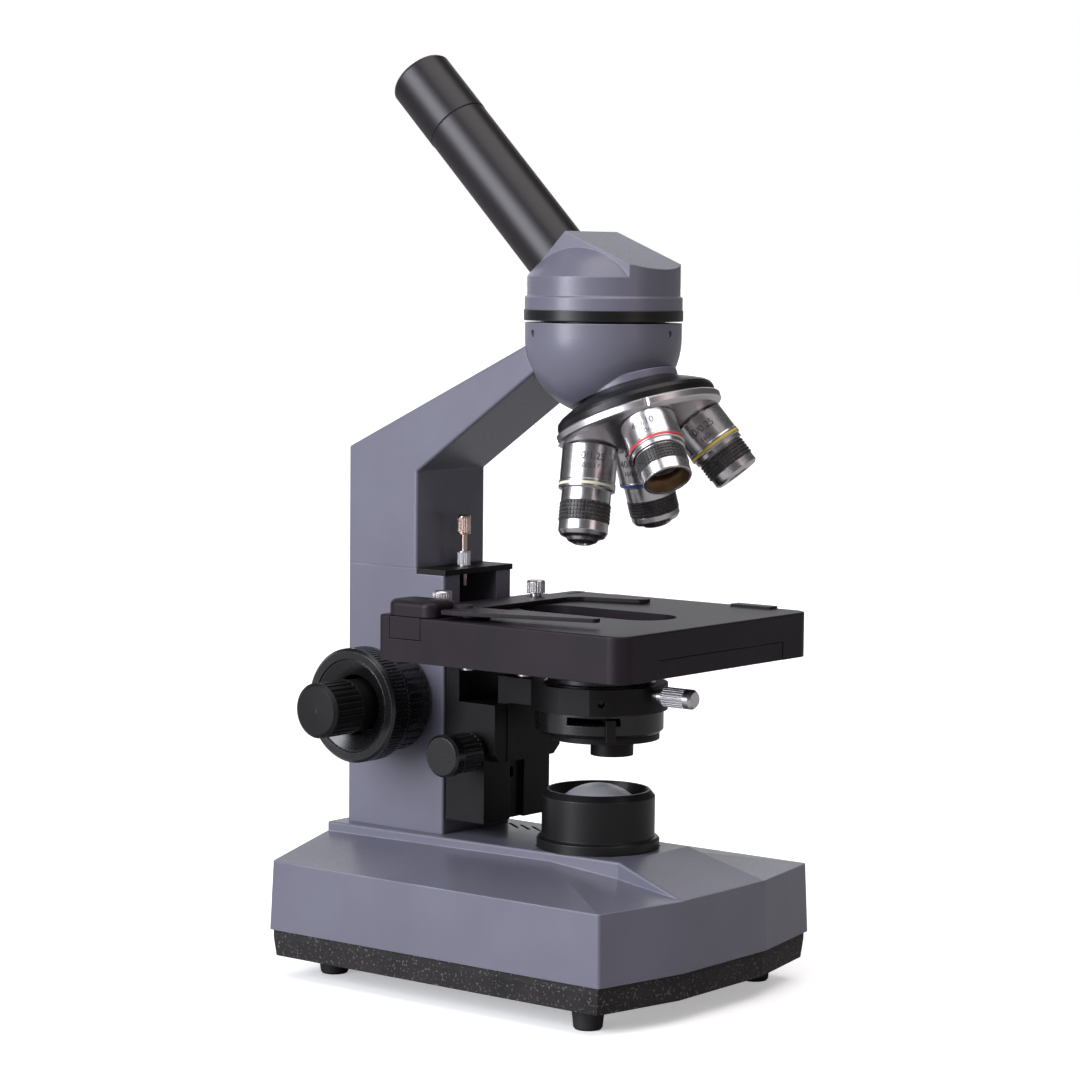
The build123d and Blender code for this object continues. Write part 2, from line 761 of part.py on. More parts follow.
# ---------------------------------------------------------------- moving stage
with BuildPart() as stage_top:
    with BuildSketch(Plane.XY.offset(stage_bottom)) as stage_plan:
        Polygon(
            (-stage_half_width, stage_front_y),
            (stage_half_width, stage_front_y),
            (stage_half_width, stage_rear_y),
            (-stage_half_width, stage_rear_y),
            align=None,
        )
        fillet(stage_plan.vertices().group_by(Axis.Y)[0], 7)
        fillet(stage_plan.vertices().group_by(Axis.Y)[-1], 2)
    extrude(amount=stage_top_z - stage_bottom)
    fillet(stage_top.faces().sort_by(Axis.Z)[-1].edges(), 0.8)
    block(
        (lower_plate_left - 0.3, stage_front_y - 1, stage_bottom - 1),
        (lower_plate_right + 0.3, stage_rear_y + 1, lower_plate_top + 0.3),
        Mode.SUBTRACT,
    )
    block(
        (-stage_half_width - 1, groove_front_y, groove_floor),
        (stage_half_width + 1, groove_rear_y, stage_top_z + 1),
        Mode.SUBTRACT,
    )
    with BuildSketch(Plane.XY.offset(lower_plate_top)):
        with Locations((0, (slot_front_y + slot_rear_y) / 2)):
            SlotOverall(slot_rear_y - slot_front_y, 2 * slot_half_width, rotation=90)
    extrude(amount=stage_top_z, mode=Mode.SUBTRACT)
    control_axis = Plane(origin=(control_x, control_y, 0))
    turn(
        control_axis,
        [(0, stage_bottom - 1), (7.4, stage_bottom - 1), (7.4, 147.4), (0, 147.4)],
        Mode.SUBTRACT,
    )
    block(
        (-12, groove_front_y - 1, 142.0),
        (stage_half_width + 1, groove_front_y + 0.5, 146.9),
        Mode.SUBTRACT,
    )
    block(
        (lower_plate_right, 1, stage_bottom - 1),
        (lower_plate_right + 2.2, stage_rear_y + 1, 137.6),
        Mode.SUBTRACT,
    )
    block((56, -42, stage_top_z - 0.5), (61.6, -23, stage_top_z + 1.0))
stage_top.part.label = "stage_top"

with BuildPart() as control_housing:
    block(
        (lower_plate_right + 0.6, control_y - 10, stage_bottom - 3),
        (stage_half_width - 1.5, control_y + 10, stage_bottom),
    )
    turn(control_axis, [(0, 127.6), (6.5, 127.6), (6.5, stage_bottom), (0, stage_bottom)])
    turn(
        control_axis,
        [(0, 127), (4.2 + running_gap, 127), (4.2 + running_gap, stage_bottom + 1), (0, stage_bottom + 1)],
        Mode.SUBTRACT,
    )
control_housing.part.label = "control_housing"

with BuildPart() as y_knob:
    turn(
        control_axis,
        [(0, 112), (8.4, 112), (9, 112.6), (9, 126.4), (8.4, 127), (4.2, 127), (4.2, 133.0), (0, 133.0)],
    )
    grooves(control_axis, 9, 0.5, 36, 113, 126)
    gear(control_axis, control_pinion_radius, 133.0, 137.4, 195)
    turn(
        control_axis,
        [(0, 111), (2.5 + running_gap, 111), (2.5 + running_gap, 138), (0, 138)],
        Mode.SUBTRACT,
    )
y_knob.part.label = "y_knob"

with BuildPart() as x_knob:
    turn(
        control_axis,
        [
            (0, 96.2),
            (6.9, 96.2),
            (7.5, 96.8),
            (7.5, 110.6),
            (6.9, 111.2),
            (2.5, 111.2),
            (2.5, 142.6),
            (0, 142.6),
        ],
    )
    grooves(control_axis, 7.5, 0.5, 30, 97.5, 110)
    gear(control_axis, control_pinion_radius, 142.6, 146.2, 105)
x_knob.part.label = "x_knob"

with BuildPart() as slider_bar:
    block(
        (-stage_half_width, groove_front_y + 0.3, groove_floor + 0.3),
        (stage_half_width, groove_rear_y - 0.3, stage_top_z - 0.2),
    )
    x_rack_plane = Plane(
        origin=(control_x, control_y + control_pinion_radius, 0),
        x_dir=(0, -1, 0),
        z_dir=(0, 0, 1),
    )
    block(
        (-30, groove_front_y - 0.5, 142.4),
        (stage_half_width - 4, groove_front_y + 1.7, 146.4),
        Mode.SUBTRACT,
    )
    rack(x_rack_plane, 1.9, -60, 7, control_pinion_radius, 142.4, 146.4)
slider_bar.part.label = "slider_bar"

with BuildPart() as slider_end_block:
    with BuildSketch(Plane.XY.offset(stage_top_z + 0.3)) as end_plan:
        Polygon((-63, 33.4), (-46, 33.4), (-46, 57.2), (-63, 57.2), align=None)
        fillet(end_plan.vertices(), 5)
    extrude(amount=6.0)
    fillet(slider_end_block.faces().sort_by(Axis.Z)[-1].edges(), 2.2)
    block((-61, 41, stage_top_z - 0.2), (-48, 54, stage_top_z + 1))
slider_end_block.part.label = "slider_end_block"

plate_low = stage_top_z + 0.3
plate_high = plate_low + 1.6
with BuildPart() as holder_plate:
    with BuildSketch(Plane.XY.offset(plate_low)) as holder_plan:
        Polygon(
            (-45.6, 35.5),
            (24, 35.5),
            (30, 32),
            (37, 8),
            (42, 5),
            (44, 12),
            (38, 22),
            (36, 40),
            (27, 54),
            (-45.6, 54),
            align=None,
        )
        fillet(holder_plan.vertices(), 2.4)
        with Locations((finger_x + 4, finger_y)):
            SlotOverall(22, 13, rotation=60)
        with Locations((finger_x, finger_y)):
            Circle(2.0, mode=Mode.SUBTRACT)
        with Locations(*[(x, thumbscrew_y) for x in thumbscrew_xs]):
            Circle(1.6, mode=Mode.SUBTRACT)
    extrude(amount=1.6)
    block((-63.2, 33.2, plate_low - 1), (-45.8, 57.4, plate_high + 1), Mode.SUBTRACT)
holder_plate.part.label = "holder_plate"

with BuildPart() as holder_thumbscrews:
    for x in thumbscrew_xs:
        thumb_plane = Plane(origin=(x, thumbscrew_y, 0))
        turn(
            thumb_plane,
            [
                (0, 149.9),
                (1.5, 149.9),
                (1.5, plate_high),
                (2.3, plate_high),
                (2.3, 153.2),
                (3.8, 153.2),
                (3.8, 157.8),
                (3.3, 158.4),
                (0, 158.4),
            ],
        )
        grooves(thumb_plane, 3.8, 0.4, 24, 153.6, 157.6)
holder_thumbscrews.part.label = "holder_thumbscrews"

with BuildPart() as spring_finger:
    finger_low = plate_high + 0.15
    with BuildSketch(Plane.XY.offset(finger_low)) as finger_plan:
        Polygon(
            (-61, 39),
            (-55, 40),
            (-44, 34),
            (-43.5, 25),
            (-41, -32),
            (-45, -32),
            (-61.5, 24),
            align=None,
        )
        fillet(finger_plan.vertices(), 1.8)
    extrude(amount=1.6)
    finger_pin = Plane(origin=(finger_x, finger_y, 0))
    turn(
        finger_pin,
        [
            (0, plate_low + 0.2),
            (1.95, plate_low + 0.2),
            (1.95, finger_low + 1.6),
            (4.2, finger_low + 1.6),
            (3.6, finger_low + 2.6),
            (0, finger_low + 2.8),
        ],
    )
    block((-64, 30.2, finger_low - 1), (-51.5, 58, finger_low + 5), Mode.SUBTRACT)
    block((-51.6, 32.6, finger_low - 1), (-45.6, 58, finger_low + 5), Mode.SUBTRACT)
spring_finger.part.label = "spring_finger"

# ---------------------------------------------------------------- condenser
with BuildPart() as condenser_slide:
    block(
        (-dovetail_half_width, carriage_front_y - 0.4, carriage_step_z),
        (dovetail_half_width, carriage_foot_y - 0.4, holder_top),
    )
    condenser_rack_plane = Plane(
        origin=(0, condenser_drive_y - condenser_pinion_radius, condenser_drive_z),
        x_dir=(0, 1, 0),
        z_dir=(1, 0, 0),
    )
    rack(
        condenser_rack_plane,
        1.3,
        carriage_step_z - condenser_drive_z + 0.5,
        18,
        condenser_pinion_radius,
        -4,
        4,
    )
condenser_slide.part.label = "condenser_slide"

with BuildPart() as condenser_holder:
    with BuildSketch(Plane.XY.offset(holder_bottom)) as holder_ring_plan:
        Circle(holder_radius)
        Polygon((-14, 0), (14, 0), (14, carriage_front_y - 0.4), (-14, carriage_front_y - 0.4), align=None)
        for flat_angle in (-165, -118):
            with Locations(Rotation(0, 0, flat_angle)):
                with Locations((holder_radius + 4.2, 0)):
                    Rectangle(10, 26, mode=Mode.SUBTRACT)
    extrude(amount=holder_top - holder_bottom)
    turn(
        Plane.XY,
        [(0, holder_bottom - 1), (22.1, holder_bottom - 1), (22.1, holder_top + 1), (0, holder_top + 1)],
        Mode.SUBTRACT,
    )
    clamp_plane = Plane(origin=(0, 0, 119.7), x_dir=(1, 0, 0), z_dir=(0, -1, 0))
    turn(clamp_plane, [(0, 20), (2.0 + running_gap, 20), (2.0 + running_gap, 30), (0, 30)], Mode.SUBTRACT)
    for hole_angle in (-141,):
        outward = Vector(cos(radians(hole_angle)), sin(radians(hole_angle)), 0)
        with BuildSketch(Plane(origin=outward * 20 + Vector(0, 0, 117.4), z_dir=outward)) as set_screw_hole:
            Circle(1.5)
        extrude(set_screw_hole.sketch, 12, mode=Mode.SUBTRACT)
condenser_holder.part.label = "condenser_holder"

with BuildPart() as condenser_clamp_screw:
    turn(
        clamp_plane,
        [
            (0, 22.2),
            (2.0, 22.2),
            (2.0, 29.6),
            (3.0, 29.6),
            (3.0, 31.4),
            (3.9, 31.8),
            (3.9, 45.0),
            (3.0, 46.2),
            (0, 46.2),
        ],
    )
    grooves(clamp_plane, 3.9, 0.4, 24, 32.4, 42.5)
condenser_clamp_screw.part.label = "condenser_clamp_screw"

slot_floor = 108.4
with BuildPart() as condenser_body:
    turn(
        Plane.XY,
        [
            (15, condenser_bottom),
            (condenser_radius - 1.4, condenser_bottom),
            (condenser_radius, condenser_bottom + 1.4),
            (condenser_radius, holder_bottom - 0.1),
            (22.0, holder_bottom - 0.1),
            (22.0, holder_top + 0.2),
            (20.5, holder_top + 0.6),
            (20.5, holder_top + 2.2),
            (cell_radius, 127),
            (cell_radius, 143.6),
            (cell_radius - 1, 144.2),
            (9.0, 144.2),
            (9.0, 121),
            (15, 119),
        ],
    )
    with BuildSketch(Plane.XY.offset(slot_floor)) as iris_slot:
        Polygon((0, 0), (-60, -8), (-60, -60), (-40, -60), align=None)
        Circle(14, mode=Mode.SUBTRACT)
    extrude(amount=holder_bottom - 1 - slot_floor, mode=Mode.SUBTRACT)
condenser_body.part.label = "condenser_body"

with BuildPart() as condenser_lens:
    turn(Plane.XY, [(0, 140.5), (8.9, 140.5), (8.9, 143.2), (6, 144.0), (0, 144.4)])
    turn(Plane.XY, [(0, 122), (8.9, 122), (8.9, 126), (5, 128.4), (0, 129.2)])
condenser_lens.part.label = "condenser_lens"

iris_angle = -133.5
with BuildPart() as iris_lever:
    turn(Plane.XY, [(8, 109.6), (14.4, 109.6), (14.4, 110.4), (8, 110.4)])
    lever_plane = Plane(
        origin=(0, 0, 109.0),
        x_dir=(cos(radians(iris_angle)), sin(radians(iris_angle)), 0),
        z_dir=(0, 0, 1),
    )
    with BuildSketch(lever_plane):
        Polygon((12, -1.2), (28.6, -1.2), (28.6, 1.2), (12, 1.2), align=None)
    extrude(amount=2.0)
    with BuildSketch(lever_plane.offset(-6.2)):
        Polygon((25.8, -1.9), (28.6, -1.9), (28.6, 1.9), (25.8, 1.9), align=None)
    extrude(amount=8.2)
iris_lever.part.label = "iris_lever"

filter_pivot = (14.0, 15.5)
with BuildPart() as filter_holder:
    with BuildSketch(Plane.XY.offset(condenser_bottom - 2.6)):
        with Locations((1.3, -1.6)):
            Circle(21.8)
        with Locations(filter_pivot):
            Circle(4.5)
        with Locations((1.3, -1.6)):
            Circle(5.6, mode=Mode.SUBTRACT)
    extrude(amount=2.3)
    with BuildSketch(Plane.XY.offset(94.0)):
        with Locations((3.2, -4.0)):
            Circle(8.5)
            Circle(5.6, mode=Mode.SUBTRACT)
    extrude(amount=condenser_bottom - 2.6 - 94.0)
filter_holder.part.label = "filter_holder"

with BuildPart() as condenser_knob:
    turn(
        condenser_drive,
        [
            (0, -41.4),
            (7.4, -41.4),
            (8.5, -40.4),
            (8.5, -36.6),
            (7.9, -36.0),
            (7.9, -24.6),
            (6.4, -23.6),
            (6.4, -21.4),
            (2.5, -21.4),
            (2.5, 11.5),
            (0, 11.5),
        ],
    )
    grooves(condenser_drive, 7.9, 0.55, 24, -35.6, -25.2)
    gear(condenser_drive, condenser_pinion_radius, -4, 4, 15)
condenser_knob.part.label = "condenser_knob"

# ---------------------------------------------------------------- nosepiece
cover_top = neck_distance
with BuildPart() as nosepiece_cover:
    turn(
        turret_plane,
        [
            (5, cover_top),
            (19.4, cover_top),
            (21, cover_top + 0.9),
            (26, cover_top + 3.1),
            (29.6, cover_top + 4.9),
            (31.0, cover_top + 6.1),
            (31.5, cover_top + 7.5),
            (31.5, 47.3),
            (29.8, 47.3),
            (29.8, cover_top + 7.7),
            (28.6, cover_top + 6.7),
            (20, cover_top + 3.7),
            (5, cover_top + 3.7),
        ],
    )
    turn(Plane.XY, light_bore, Mode.SUBTRACT)
nosepiece_cover.part.label = "nosepiece_cover"

with BuildPart() as nosepiece_axle:
    turn(
        turret_plane,
        [
            (0, cover_top - 3),
            (8, cover_top - 3),
            (8, cover_top),
            (4.95, cover_top),
            (4.95, 62),
            (8.4, 62.3),
            (8.4, 64.2),
            (0, 65),
        ],
    )
nosepiece_axle.part.label = "nosepiece_axle"

slope_drop = tan(radians(nose_tilt))
seat_radius = seat_distance * sin(radians(nose_tilt))
seat_height = seat_distance * cos(radians(nose_tilt))
rim_height = turret_ring_centre + 1.6
with BuildPart() as nosepiece_turret:
    turn(
        turret_plane,
        [
            (5.0, seat_height - 1),
            (turret_radius - 2.5, rim_height - 3.3),
            (turret_radius - 0.5, rim_height - 3.3),
            (turret_radius, rim_height - 2.8),
            (turret_radius, rim_height - 0.5),
            (turret_radius - 0.5, rim_height),
            (seat_radius + 9.5, seat_height - 9.5 * slope_drop),
            (9.2, seat_height + (seat_radius - 9.2) * slope_drop),
            (9.2, 62.0),
            (5.0, 62.0),
        ],
    )
    for click in range(4):
        turn_angle = radians(turret_rest_turn + 90 * click - 90)
        radial = turret_plane.x_dir * cos(turn_angle) + turret_plane.y_dir * sin(turn_angle)
        aim = turret_axis * cos(radians(nose_tilt)) + radial * sin(radians(nose_tilt))
        bore_plane = Plane(origin=(0, 0, apex_z), z_dir=aim)
        turn(
            bore_plane,
            [
                (0, seat_distance - 12),
                (8.8, seat_distance - 12),
                (8.8, seat_distance + 3),
                (0, seat_distance + 3),
            ],
            Mode.SUBTRACT,
        )
        with BuildSketch(turret_plane.offset(rim_height - 4)) as notch:
            with PolarLocations(turret_radius + 0.6, 1, start_angle=turret_rest_turn + 90 * click):
                Circle(1.5)
        extrude(notch.sketch, 5, dir=turret_axis, mode=Mode.SUBTRACT)
nosepiece_turret.part.label = "nosepiece_turret"

# half sections from the seat downwards: (radius, distance below the seat)
objective_shapes = {
    "100x": (
        [
            (10.8, 0),
            (10.8, 13.4),
            (11.0, 13.8),
            (11.0, 16.4),
            (9.6, 16.9),
            (9.6, 33.0),
            (8.6, 34.6),
            (6.4, 35.4),
            (5.6, 36.6),
            (3.4, 37.6),
        ],
        21.6,
        29.4,
        2.6,
    ),
    "4x": (
        [
            (10.8, 0),
            (10.8, 10.6),
            (11.0, 11.0),
            (11.0, 12.6),
            (10.4, 13.0),
            (10.4, 14.6),
            (9.5, 15.0),
            (9.5, 26.0),
            (9.2, 26.4),
        ],
        15.2,
        21.6,
        8.3,
    ),
    "10x": (
        [
            (10.8, 0),
            (10.8, 10.8),
            (11.0, 11.2),
            (11.0, 13.2),
            (10.4, 13.6),
            (10.4, 15.2),
            (9.5, 15.6),
            (9.5, 25.8),
            (8.6, 26.6),
            (5.2, 26.6),
        ],
        15.8,
        22.8,
        4.2,
    ),
    "40x": (
        [
            (10.8, 0),
            (10.8, 12.6),
            (11.0, 13.0),
            (11.0, 14.6),
            (9.7, 15.2),
            (9.7, 29.6),
            (8.8, 31.0),
            (6.2, 31.6),
            (5.6, 32.6),
            (4.0, 33.2),
        ],
        21.0,
        27.6,
        3.0,
    ),
}
grip_seat = 9.2
objective_clicks = {"100x": 0, "4x": -1, "10x": 2, "40x": 1}
thread_radius = 8.75
inner_bore = 7.35
thread_outline = [(inner_bore, 0), (inner_bore, -4.5), (thread_radius, -4.5), (thread_radius, 0)]
objectives = {}
objective_grips = []
objective_lenses = []
for name, (profile, grip_low, grip_high, bore) in objective_shapes.items():
    turn_angle = radians(turret_rest_turn + 90 * objective_clicks[name] - 90)
    radial = turret_plane.x_dir * cos(turn_angle) + turret_plane.y_dir * sin(turn_angle)
    aim = turret_axis * cos(radians(nose_tilt)) + radial * sin(radians(nose_tilt))
    seat = Plane(origin=Vector(0, 0, apex_z) + aim * seat_distance, z_dir=aim)
    length = profile[-1][1]
    bore_outline = [(bore, length), (bore, length - 4), (inner_bore, length - 8), (inner_bore, 0)]
    with BuildPart() as barrel:
        turn(seat, thread_outline + profile + bore_outline)
        turn(
            seat,
            [(grip_seat, grip_low), (14, grip_low), (14, grip_high), (grip_seat, grip_high)],
            Mode.SUBTRACT,
        )
    barrel.part.label = "objective_" + name
    objectives[name] = barrel
    with BuildPart() as grip:
        turn(seat, [(grip_seat, grip_low), (9.85, grip_low), (9.85, grip_high), (grip_seat, grip_high)])
        grooves(seat, 9.85, 0.28, 60, grip_low + 0.5, grip_high - 0.5)
    objective_grips.append(grip.part)
    with BuildPart() as front_lens:
        lens_seat = length - 4 if name != "4x" else length - 12
        lens_reach = bore - 0.02 if name != "4x" else 7.33
        turn(
            seat,
            [(0, lens_seat), (lens_reach, lens_seat), (lens_reach, lens_seat + 3.2), (0, lens_seat + 3.5)],
        )
    objective_lenses.append(front_lens.part)
grips = Compound(label="objective_grips", children=objective_grips)
lenses = Compound(label="objective_lenses", children=objective_lenses)

# ---------------------------------------------------------------- head, tube and eyepiece
with BuildPart() as head_ring:
    turn(
        Plane.XY,
        [
            (21, 256.6),
            (24.0, 256.6),
            (24.0, ring_bottom),
            (30.8, ring_bottom),
            (31.1, ring_bottom + 0.3),
            (31.1, ring_top),
            (21, ring_top),
        ],
    )
head_ring.part.label = "head_ring"

dome_radius = 37.0
dome_centre_z = 259.8
roof_cover = 0.3
with BuildPart() as head_housing:
    with Locations((0, 0, dome_centre_z)):
        Sphere(dome_radius)
    with BuildSketch(Plane.XY.offset(ring_top)):
        Circle(head_radius)
    extrude(amount=40, mode=Mode.INTERSECT)
    with BuildSketch(Plane.YZ.offset(-head_radius)):
        Polygon(
            (-32, 283.8 - roof_cover),
            (wedge_ridge_y, wedge_ridge_z - roof_cover),
            (32, wedge_ridge_z - 25.6 - roof_cover),
            (32, wedge_ridge_z + 5),
            (-32, wedge_ridge_z + 5),
            align=None,
        )
    extrude(amount=2 * head_radius, mode=Mode.SUBTRACT)
    turn(
        Plane.XY,
        [(0, ring_top), (30.8, ring_top), (30.8, collar_top - 0.6), (30.2, collar_top), (0, collar_top)],
    )
    with BuildSketch(Plane.YZ.offset(-wedge_half_width)) as wedge_side:
        Polygon(
            (-32, ring_top + 1),
            (-32, 283.8),
            (wedge_ridge_y, wedge_ridge_z),
            (32, wedge_ridge_z - 25.6),
            (32, ring_top + 1),
            align=None,
        )
    wedge = extrude(wedge_side.sketch, 2 * wedge_half_width, mode=Mode.PRIVATE)
    with BuildSketch(Plane.XY.offset(ring_top + 1)) as wedge_round:
        Circle(head_radius)
    trunk = extrude(wedge_round.sketch, 40, mode=Mode.PRIVATE)
    add(wedge & trunk)
    turn(
        Plane.XY,
        [(0, ring_top - 1), (26, ring_top - 1), (26, 272), (23, 280), (14, 287), (0, 287)],
        Mode.SUBTRACT,
    )
    turn(tube_plane, [(0, 8), (tube_radius, 8), (tube_radius, 60), (0, 60)], Mode.SUBTRACT)
head_housing.part.label = "head_housing"

with BuildPart() as prism:
    with BuildSketch(Plane.YZ.offset(-9)):
        Polygon((-9, 259.5), (9, 259.5), (9.5, 268), (-2, 279), (-9, 276), align=None)
    extrude(amount=18)
prism.part.label = "prism"

with BuildPart() as eyepiece_tube:
    turn(
        tube_plane,
        [
            (tube_bore, tube_start),
            (tube_radius, tube_start),
            (tube_radius, tube_end),
            (tube_bore, tube_end),
        ],
    )
eyepiece_tube.part.label = "eyepiece_tube"

with BuildPart() as eyepiece:
    turn(
        tube_plane,
        [
            (10.2, 82),
            (tube_bore - running_gap, 82),
            (tube_bore - running_gap, tube_end + 0.05),
            (12.6, tube_end + 0.05),
            (13.0, tube_end + 0.6),
            (13.0, eyepiece_end - 1.2),
            (12.2, eyepiece_end),
            (10.4, eyepiece_end),
            (7.6, eyepiece_end - 3.4),
            (7.6, eyepiece_end - 6),
            (10.2, eyepiece_end - 6),
        ],
    )
eyepiece.part.label = "eyepiece"

lens_shoulder = eyepiece_end - 6.02
with BuildPart() as eyepiece_lenses:
    turn(
        tube_plane,
        [
            (0, eyepiece_end - 9.8),
            (10.15, eyepiece_end - 9.8),
            (10.15, lens_shoulder),
            (7.4, lens_shoulder),
            (7, lens_shoulder + 0.8),
            (0, lens_shoulder + 1.1),
        ],
    )
    turn(tube_plane, [(0, 85), (4, 84.2), (10.15, 86), (10.15, 88), (0, 88)])
eyepiece_lenses.part.label = "eyepiece_lenses"

# ---------------------------------------------------------------- export
pieces = [
    base_shell, base_plate, rubber_feet, base_screws, lower_column, shelf_plate, upper_arm, stop_nut,
    stop_screw,
    head_bowl, head_lock_screws, illuminator_housing, collector_lens, led_lamp, power_inlet, power_switch,
    brightness_dial, focus_guide, coarse_shaft, *coarse_knobs.values(), *fine_knobs.values(), fine_shaft,
    stage_carriage, focus_rack, stage_screws, stage_lower_plate, stage_top, control_housing, y_knob, x_knob,
    slider_bar, slider_end_block, holder_plate, holder_thumbscrews, spring_finger, condenser_slide,
    condenser_holder, condenser_clamp_screw, condenser_body, condenser_lens, iris_lever, filter_holder,
    condenser_knob, nosepiece_cover, nosepiece_axle, nosepiece_turret, *objectives.values(), head_ring,
    head_housing, prism, eyepiece_tube, eyepiece, eyepiece_lenses,
]
for piece in pieces:
    export_step(piece.part, "parts/" + piece.part.label + ".step")
for group in (grips, lenses):
    export_step(group, "parts/" + group.label + ".step")
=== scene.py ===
"""Looks of the monocular student microscope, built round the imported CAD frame."""

import json
import math
from collections import namedtuple

import bmesh
import bpy
from mathutils import Matrix, Vector


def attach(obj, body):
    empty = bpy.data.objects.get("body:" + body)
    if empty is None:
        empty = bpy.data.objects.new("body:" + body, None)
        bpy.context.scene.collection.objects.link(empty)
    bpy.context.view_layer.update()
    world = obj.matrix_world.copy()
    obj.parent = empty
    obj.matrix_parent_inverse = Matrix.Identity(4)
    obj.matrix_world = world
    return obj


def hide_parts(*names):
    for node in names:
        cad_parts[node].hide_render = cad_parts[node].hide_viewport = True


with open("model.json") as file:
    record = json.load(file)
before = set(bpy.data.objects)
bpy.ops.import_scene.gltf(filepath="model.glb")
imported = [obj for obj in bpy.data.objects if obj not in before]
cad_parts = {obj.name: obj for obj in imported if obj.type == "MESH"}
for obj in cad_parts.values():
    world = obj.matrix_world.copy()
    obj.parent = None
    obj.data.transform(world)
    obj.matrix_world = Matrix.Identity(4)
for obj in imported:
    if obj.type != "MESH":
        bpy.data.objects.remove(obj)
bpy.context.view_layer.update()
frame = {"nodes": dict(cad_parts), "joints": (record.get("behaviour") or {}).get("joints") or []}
nodes = frame["nodes"]
joints = {joint["name"]: joint for joint in frame["joints"]}
MM = 0.001

BUMP_DEPTH = 0.0002  # metres that a full-strength bump stands for
FLECK_EDGES = (0.62, 0.68)  # noise values between which a fleck fades in
EDGE_WEAR_AND_HIGHLIGHT_NORMALS = (0.86, 0.985)  # agreement of bevelled and true normals, from full edge wear and painted highlight to none
EDGE_WEAR_AND_HIGHLIGHT_PATCHES = (0.35, 0.6)  # noise values between which the edge wear and painted highlight go from least to full
LEAST_EDGE_WEAR_AND_HIGHLIGHT = 0.35


# ---------------------------------------------------------------- materials
def link(tree, source, target):
    """Join two node sockets."""
    tree.links.new(source, target)


def noise(tree, coordinates, scale, detail=4.0, stretch=(1, 1, 1)):
    """A noise texture over the object's own coordinates, which are in metres."""
    mapping = tree.nodes.new("ShaderNodeMapping")
    mapping.inputs["Scale"].default_value = stretch
    link(tree, coordinates, mapping.inputs["Vector"])
    texture = tree.nodes.new("ShaderNodeTexNoise")
    texture.inputs["Scale"].default_value = scale
    texture.inputs["Detail"].default_value = detail
    link(tree, mapping.outputs["Vector"], texture.inputs["Vector"])
    return texture.outputs["Fac"]


def spread(tree, value, low, high, start=0.3, end=0.7):
    """Map a value from one range of numbers onto another."""
    node = tree.nodes.new("ShaderNodeMapRange")
    node.inputs["From Min"].default_value = start
    node.inputs["From Max"].default_value = end
    node.inputs["To Min"].default_value = low
    node.inputs["To Max"].default_value = high
    link(tree, value, node.inputs["Value"])
    return node.outputs["Result"]


def blend_colours(tree, factor, first, second):
    """Mix two colours, each a tuple or a socket."""
    node = tree.nodes.new("ShaderNodeMix")
    node.data_type = "RGBA"
    link(tree, factor, node.inputs["Factor"])
    for socket, colour in ((node.inputs[6], first), (node.inputs[7], second)):
        if isinstance(colour, tuple):
            socket.default_value = (*colour, 1)
        else:
            link(tree, colour, socket)
    return node.outputs[2]


